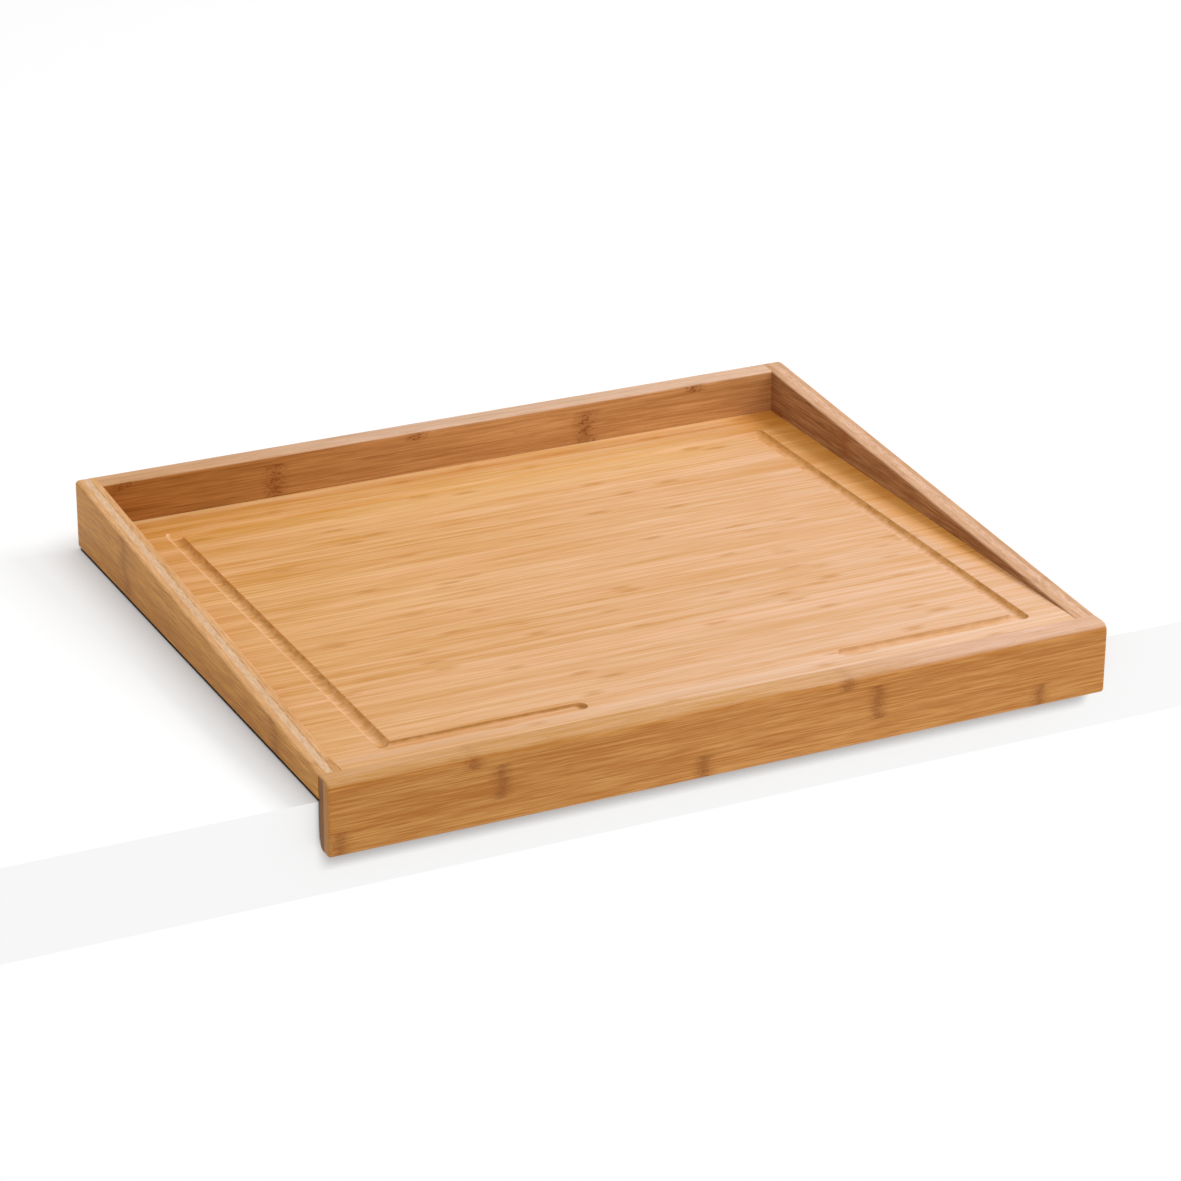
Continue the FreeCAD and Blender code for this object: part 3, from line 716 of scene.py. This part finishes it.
def groove_shell(bm, top):
    """Cut face of the groove: half its section is swept along both sides of the right half, then mirrored."""
    cutter, depth, arris = sizes().groove_cutter, sizes().groove_depth, sizes().groove_arris
    side = PANEL_HIGH.x - sizes().groove_side
    front = PANEL_LOW.y + sizes().groove_front
    back = PANEL_HIGH.y - sizes().groove_back
    mouth = sizes().groove_mouth / 2
    rise = cutter - depth
    rim = math.sqrt((cutter + arris) ** 2 - (rise + arris) ** 2)
    turn = math.atan2(rim, rise + arris)
    along, upright, quarter = (1, 0, 0), (0, 0, 1), math.pi / 2

    middle = bm.verts.new((mouth, front, top - depth))
    bowl_end = swing(bm, [middle], (mouth, front, top + rise), along, -turn, ARC_STEPS)
    swing(bm, verts_in(bowl_end), (mouth, front - rim, top - arris), along, turn, ARC_STEPS)
    section = bm.edges[:]
    inner = edges_in(swing(bm, section, (mouth, front, top), upright, -math.pi, 4 * ARC_STEPS))

    outer = carry(bm, section, Matrix.Translation((side - mouth, 0, 0)))
    outer = edges_in(swing(bm, outer, (side, front, top), upright, quarter, 2 * ARC_STEPS))
    outer = carry(bm, outer, Matrix.Translation((0, back - front, 0)))
    outer = edges_in(swing(bm, outer, (side, back, top), upright, quarter, 2 * ARC_STEPS))
    flat_to_middle = Matrix.Diagonal((0, 1, 1, 1))
    carry(bm, outer, flat_to_middle)

    mitre = Matrix(((0, -1, 0, side + front), (0, 1, 0, 0), (0, 0, 1, 0), (0, 0, 0, 1)))
    inner = carry(bm, inner, mitre)
    inner = carry(bm, inner, Matrix.Translation((0, front + back, 0)) @ Matrix.Diagonal((1, -1, 1, 1)))
    carry(bm, inner, flat_to_middle)

    bmesh.ops.mirror(bm, geom=bm.verts[:] + bm.edges[:] + bm.faces[:], axis="X", merge_dist=WELD)
    bmesh.ops.remove_doubles(bm, verts=bm.verts, dist=WELD)
    bmesh.ops.translate(bm, verts=bm.verts, vec=(sizes().groove_shift, 0, 0))
    return [edge for edge in bm.edges if edge.is_boundary]


class BOARD_OT_panel(bpy.types.Operator):
    """Model the cutting panel with its ball-nosed groove"""
    bl_idname = "board.panel"
    bl_label = "Grooved panel"

    def execute(self, context):
        top = PANEL_HIGH.z
        bm = bmesh.new()
        rim = groove_shell(bm, top)
        for face in bm.faces:
            face.smooth = True
        low, high = PANEL_LOW, PANEL_HIGH
        corners = [(low.x, low.y), (high.x, low.y), (high.x, high.y), (low.x, high.y)]
        verts = [bm.verts.new((x, y, top)) for x, y in corners]
        outline = [bm.edges.new((verts[i - 1], verts[i])) for i in range(4)]
        bmesh.ops.triangle_fill(bm, use_beauty=True, edges=rim + outline)
        bottom = carry(bm, outline, Matrix.Translation((0, 0, low.z - top)))
        bmesh.ops.edgeloop_fill(bm, edges=bottom)
        bmesh.ops.bevel(
            bm, geom=outline, offset=sizes().panel_edge, affect="EDGES", segments=1, profile=0.5, material=-1)
        bmesh.ops.recalc_face_normals(bm, faces=bm.faces)
        new_piece("grooved_panel", bm, panel_bamboo(), "cutting_panel")
        return {"FINISHED"}


def wedge(node, low_top, high_top):
    """A block that fills a packed ply's box, with a top that slopes up from front to rear."""
    low, high = (Vector(corner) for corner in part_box(node))
    bm = bmesh.new()
    bmesh.ops.create_cube(bm, size=1.0)
    middle = (low + high) / 2
    span = high - low
    bmesh.ops.transform(bm, verts=bm.verts, matrix=Matrix.Translation(middle) @ Matrix.Diagonal((*span, 1.0)))
    for vert in bm.verts:
        if vert.co.z > middle.z:
            vert.co.z = low_top if vert.co.y < middle.y else high_top
    return bm, low, high


def round_edges(bm, chosen, radius):
    """Round the edges whose two ends both pass the test."""
    edges = [edge for edge in bm.edges if all(chosen(vert.co) for vert in edge.verts)]
    bmesh.ops.bevel(
        bm, geom=edges, offset=radius, affect="EDGES", segments=ARC_STEPS, profile=0.5, material=-1)


def frame_slope():
    """Rise of the frame's top from the lip to the rear, by length."""
    return (sizes().rear_height - PANEL_HIGH.z) / WALL_HIGH.y


def frame_top(y):
    """Height of the frame's sloping top at a distance from the lip."""
    return PANEL_HIGH.z + frame_slope() * y


class BOARD_OT_inner_plies(bpy.types.Operator):
    """Model the plies that face the panel, with their eased inner top edges"""
    bl_idname = "board.inner_plies"
    bl_label = "Inner plies"

    def execute(self, context):
        for side, sign in (("left", -1), ("right", 1)):
            node = f"{side}_wall_inner_ply"
            rear = WALL_HIGH.y
            bm, low, high = wedge(node, frame_top(0), frame_top(rear))
            inner = high.x if sign < 0 else low.x
            half = PANEL_HIGH.z / 2
            bmesh.ops.bisect_plane(
                bm, geom=bm.verts[:] + bm.edges[:] + bm.faces[:], plane_co=(0, PANEL_HIGH.y, 0),
                plane_no=(0, 1, 0))
            beside_panel = PANEL_HIGH.y + SAME_PLACE
            round_edges(
                bm, lambda p: abs(p.x - inner) < SAME_PLACE and p.z > half and p.y < beside_panel,
                sizes().inner_round)
            round_edges(bm, lambda p: abs(p.y - rear) < SAME_PLACE and p.z > half, sizes().rear_round)
            round_edges(bm, lambda p: abs(p.y - rear) < SAME_PLACE and p.z < SAME_PLACE, sizes().rear_round)
            new_piece(f"{side}_wall_inner", bm, wall_bamboo(side, "inner"), node)
        node = "back_rail_front_ply"
        front, rear = (corner[1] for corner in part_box(node))
        bm, _low, _high = wedge(node, frame_top(front), frame_top(rear))
        round_edges(bm, lambda p: abs(p.y - front) < SAME_PLACE and p.z > PANEL_HIGH.z, sizes().inner_round)
        new_piece("back_rail_inner", bm, rail_bamboo("front"), node)
        return {"FINISHED"}


WALL_SLATS = {
    "left": [(18.0, 67.0, 258.0, 0.34), (48.0, 73.0, 258.0, 0.60)],
    "right": [(21.0, 150.0, 246.0, 0.50), (48.0, 40.0, 262.0, 0.42)],
}
RAIL_SLATS = [(41.0, -131.0, 236.0, 0.45), (48.0, -25.0, 217.0, 0.55)]
LIP_SLATS = [(-16.0, -21.0, 242.0, 0.40), (7.0, -158.0, 259.0, 0.32), (17.0, -176.0, 256.0, 0.30)]
PLAIN_SLAT = [(48.0, 600.0, 3000.0, 0.5)]
WALL_SEEDS = {"outer": 2.0, "core": 3.0, "inner": 4.0}
RAIL_SEEDS = {"front": 5.0, "core": 6.0, "rear": 7.0}
LIP_SEEDS = {"front": 8.0, "back": 9.0}


def frame_edge():
    """The frame's sloping top, in millimetres: height at the lip, slope, and how deep its tint goes."""
    return PANEL_HIGH.z / MM, frame_slope(), TOP_TINT_DEPTH


def wall_bamboo(side, layer):
    """The bamboo of one ply of a side wall."""
    left = side == "left"
    name = f"{side}_wall_{layer}_bamboo"
    seed = WALL_SEEDS[layer] + (0.0 if left else 10.0)
    joint = 260.0 if left and layer != "outer" else None
    end, end_tone = WALL_HIGH.y / MM, fibre_tones("wall")[1]
    if layer == "core":
        return slat_bamboo(Ply(
            name, "y", PLAIN_SLAT, seed, fibre_tones(f"{side}_core"), end=end, end_tone=end_tone,
            joint=joint, grain_scale=7.0, flecks=False))
    # The right wall's inner ply takes darker colours: partly its own tone, partly painted shade.
    shaded = not left and layer == "inner"
    return slat_bamboo(Ply(
        name, "y", WALL_SLATS[side], seed, fibre_tones("shade" if shaded else "wall"),
        far_tones=fibre_tones("nose") if layer == "outer" else None, top=frame_edge(),
        top_tones=fibre_tones(f"{side}_top"), end=end, end_tone=end_tone, joint=joint, grain_scale=1.6,
        knot_width=15.0, knot_depth=0.36, knot_dots=0.14, lines=1.6, gloss=0.2))


def rail_bamboo(layer):
    """The bamboo of one ply of the back rail."""
    return slat_bamboo(Ply(
        f"back_rail_{layer}_bamboo", "x", RAIL_SLATS if layer == "front" else PLAIN_SLAT, RAIL_SEEDS[layer],
        fibre_tones("rail"), far_tones=fibre_tones("rail_far"), top=frame_edge(),
        top_tones=fibre_tones("rail_top"), top_far_tones=fibre_tones("rail_top_far"), top_drift=(-260.0, 0.0),
        knot_width=13.0, knot_depth=0.36, knot_dots=0.62, lines=0.85, gloss=0.25))


def lip_bamboo(layer):
    """The bamboo of one ply of the lip."""
    end_tone = getattr(colours(), f"lip_{layer}_end")
    return slat_bamboo(Ply(
        f"front_lip_{layer}_bamboo", "x", LIP_SLATS, LIP_SEEDS[layer], fibre_tones("lip"),
        far_tones=fibre_tones("lip_far"), top=(PANEL_HIGH.z / MM, 0.0, LIP_TINT_DEPTH),
        top_tones=fibre_tones("lip_top"), top_far_tones=fibre_tones("lip_top_far"), top_drift=(0.0, 200.0),
        end=BOARD_HALF_WIDTH, end_tone=rgba(end_tone), lines=1.2, gloss=0.25))


class BOARD_OT_frame_finish(bpy.types.Operator):
    """Finish the plies of the side walls and the back rail"""
    bl_idname = "board.frame_finish"
    bl_label = "Frame finish"

    def execute(self, context):
        for side in ("left", "right"):
            for layer in ("outer", "core"):
                finish_node(f"{side}_wall_{layer}_ply", wall_bamboo(side, layer))
        for layer in ("core", "rear"):
            finish_node(f"back_rail_{layer}_ply", rail_bamboo(layer))
        return {"FINISHED"}


class BOARD_OT_lip_finish(bpy.types.Operator):
    """Finish the two plies of the lip"""
    bl_idname = "board.lip_finish"
    bl_label = "Lip finish"

    def execute(self, context):
        for layer in ("front", "back"):
            finish_node(f"front_lip_{layer}_ply", lip_bamboo(layer))
        return {"FINISHED"}


class BOARD_OT_joint_finish(bpy.types.Operator):
    """Finish the hidden splines and dowels"""
    bl_idname = "board.joint_finish"
    bl_label = "Joint finish"

    def execute(self, context):
        tones = fibre_tones("peg")
        cross = slat_bamboo(Ply("peg_wood_x", "x", PLAIN_SLAT, 20.0, tones))
        deep = slat_bamboo(Ply("peg_wood_y", "y", PLAIN_SLAT, 21.0, tones))
        for node in ("back_rail_spline", "front_lip_spline"):
            finish_node(node, cross)
        for side in ("left", "right"):
            finish_node(f"{side}_rail_end_dowels", cross)
            finish_node(f"{side}_wall_spline", deep)
            finish_node(f"{side}_wall_nose_dowel", deep)
        return {"FINISHED"}


class BOARD_OT_stage(bpy.types.Operator):
    """Set up the worktop, the light and the camera"""
    bl_idname = "board.stage"
    bl_label = "Stage"

    def execute(self, context):
        make_worktop()
        make_light()
        make_camera()
        return {"FINISHED"}


def make_worktop():
    """A worktop whose front edge the lip hooks over: its top and its front face."""
    reach, front, gap, drop = 3.0, 0.0016, 0.0014, 0.062
    bm = bmesh.new()
    bmesh.ops.create_grid(bm, x_segments=1, y_segments=1, size=reach)
    bmesh.ops.translate(bm, verts=bm.verts, vec=(0, reach + front, -gap))
    new_piece("worktop_top", bm, white_laminate("worktop_top_laminate", 0.60, 34 * MM, 1.0))
    bm = bmesh.new()
    bmesh.ops.create_grid(
        bm, x_segments=1, y_segments=1, size=0.5,
        matrix=Matrix.Translation((0, front, -gap - drop / 2)) @ Matrix.Rotation(math.pi / 2, 4, "X")
        @ Matrix.Diagonal((2 * reach, drop, 1, 1)))
    laminate = white_laminate("worktop_front_laminate", 0.575, 18 * MM, 6.0, BOARD_HALF_WIDTH)
    new_piece("worktop_front", bm, laminate)


def make_light():
    """An even white sky, a large lamp on the right and a soft one low in front."""
    world = bpy.data.worlds.new("white_studio")
    world.use_nodes = True
    world.node_tree.nodes.clear()
    graph = Graph(world.node_tree)
    seen = seen_directly(graph)
    strength = graph.math("MULTIPLY_ADD", seen, 1.0 - studio().sky, studio().sky)
    sky = graph.add("ShaderNodeBackground", {"Color": (1.0, 1.0, 1.0, 1.0), "Strength": strength})
    graph.add("ShaderNodeOutputWorld", {"Surface": sky.outputs[0]})
    bpy.context.scene.world = world

    add_lamp("key_lamp", KEY_PLACE, KEY_SIZE, studio().key)
    add_lamp("fill_lamp", FILL_PLACE, FILL_SIZE, studio().fill)


def add_lamp(name, place, size, power):
    """A square lamp that faces the middle of the board."""
    lamp = bpy.data.lights.new(name, "AREA")
    lamp.shape = "SQUARE"
    lamp.size = size
    lamp.energy = power
    item = bpy.data.objects.new(name, lamp)
    item.location = place
    item.rotation_euler = (Vector(LAMP_AIM) - item.location).to_track_quat("-Z", "Y").to_euler()
    bpy.context.scene.collection.objects.link(item)


def make_camera():
    """The photograph's camera: a long lens from the front left, a little above."""
    view = studio()
    back = Vector((
        math.sin(view.azimuth) * math.cos(view.elevation),
        -math.cos(view.azimuth) * math.cos(view.elevation),
        math.sin(view.elevation)))
    level = Vector((math.cos(view.azimuth), math.sin(view.azimuth), 0.0))
    upright = back.cross(level)
    right = level * math.cos(view.roll) + upright * math.sin(view.roll)
    up = upright * math.cos(view.roll) - level * math.sin(view.roll)
    turn = Matrix((right, up, back)).transposed().to_4x4()
    data = bpy.data.cameras.new("camera")
    data.lens = view.lens
    data.sensor_width = 36.0
    data.sensor_fit = "HORIZONTAL"
    camera = bpy.data.objects.new("camera", data)
    camera.matrix_world = Matrix.Translation(view.place) @ turn
    bpy.context.scene.collection.objects.link(camera)
    bpy.context.scene.camera = camera
    bpy.context.scene.view_settings.view_transform = "Standard"


class BOARD_PT_sidebar(bpy.types.Panel):
    """The board's settings and steps in the 3D view's sidebar"""
    bl_label = "Cutting board"
    bl_space_type = "VIEW_3D"
    bl_region_type = "UI"
    bl_category = "Cutting board"

    def draw(self, context):
        for settings in (context.scene.board_sizes, context.scene.board_colours, context.scene.board_studio):
            box = self.layout.box()
            for name in settings.__annotations__:
                box.prop(settings, name)
        for step in STEPS:
            self.layout.operator(step.bl_idname)


SETTINGS = (BoardSizes, BambooColours, StudioSettings)
STEPS = (
    BOARD_OT_panel, BOARD_OT_inner_plies, BOARD_OT_frame_finish, BOARD_OT_lip_finish, BOARD_OT_joint_finish,
    BOARD_OT_stage,
)


def register():
    """Register the classes and put the settings on the scene."""
    for item in (*SETTINGS, *STEPS, BOARD_PT_sidebar):
        bpy.utils.register_class(item)
    bpy.types.Scene.board_sizes = PointerProperty(type=BoardSizes)
    bpy.types.Scene.board_colours = PointerProperty(type=BambooColours)
    bpy.types.Scene.board_studio = PointerProperty(type=StudioSettings)


def unregister():
    """Take the settings off the scene and unregister the classes."""
    del bpy.types.Scene.board_studio
    del bpy.types.Scene.board_colours
    del bpy.types.Scene.board_sizes
    for item in reversed((*SETTINGS, *STEPS, BOARD_PT_sidebar)):
        bpy.utils.unregister_class(item)


def main():
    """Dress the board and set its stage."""
    register()
    for make_group in (fibre_group, knot_group, strip_group, surface_group):
        make_group()
    bpy.ops.board.panel()
    bpy.ops.board.inner_plies()
    bpy.ops.board.frame_finish()
    bpy.ops.board.lip_finish()
    bpy.ops.board.joint_finish()
    bpy.ops.board.stage()


if __name__ == "__main__":
    main()
